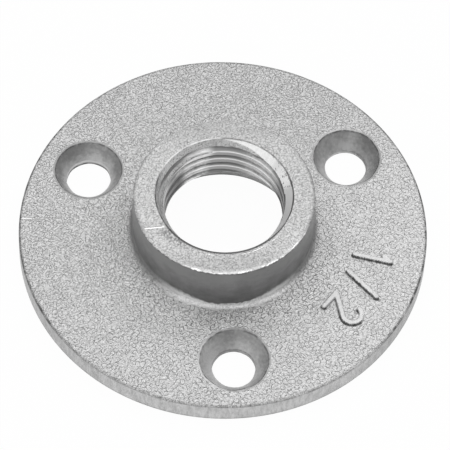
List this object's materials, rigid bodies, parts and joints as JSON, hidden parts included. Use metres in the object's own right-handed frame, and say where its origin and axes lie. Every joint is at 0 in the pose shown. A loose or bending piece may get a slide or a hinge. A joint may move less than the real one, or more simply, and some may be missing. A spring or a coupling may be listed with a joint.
{
  "type": "threaded floor flange",
  "caption": "Round cast floor flange with a raised hub, a threaded pipe bore and countersunk screw holes, for standing a pipe on a flat surface.",
  "frame": {"origin": "centre of the underside, on the pipe axis", "axes": "+Z along the pipe axis, out of the hub; -Y through the screw hole nearest the viewer"},
  "size_m": [0.062, 0.062, 0.0122],
  "materials": {
    "cast_metal": "matte, as cast and zinc coated"
  },
  "bodies": {
    "root": {"floor_flange": "cast_metal"}
  },
  "joints": []
}
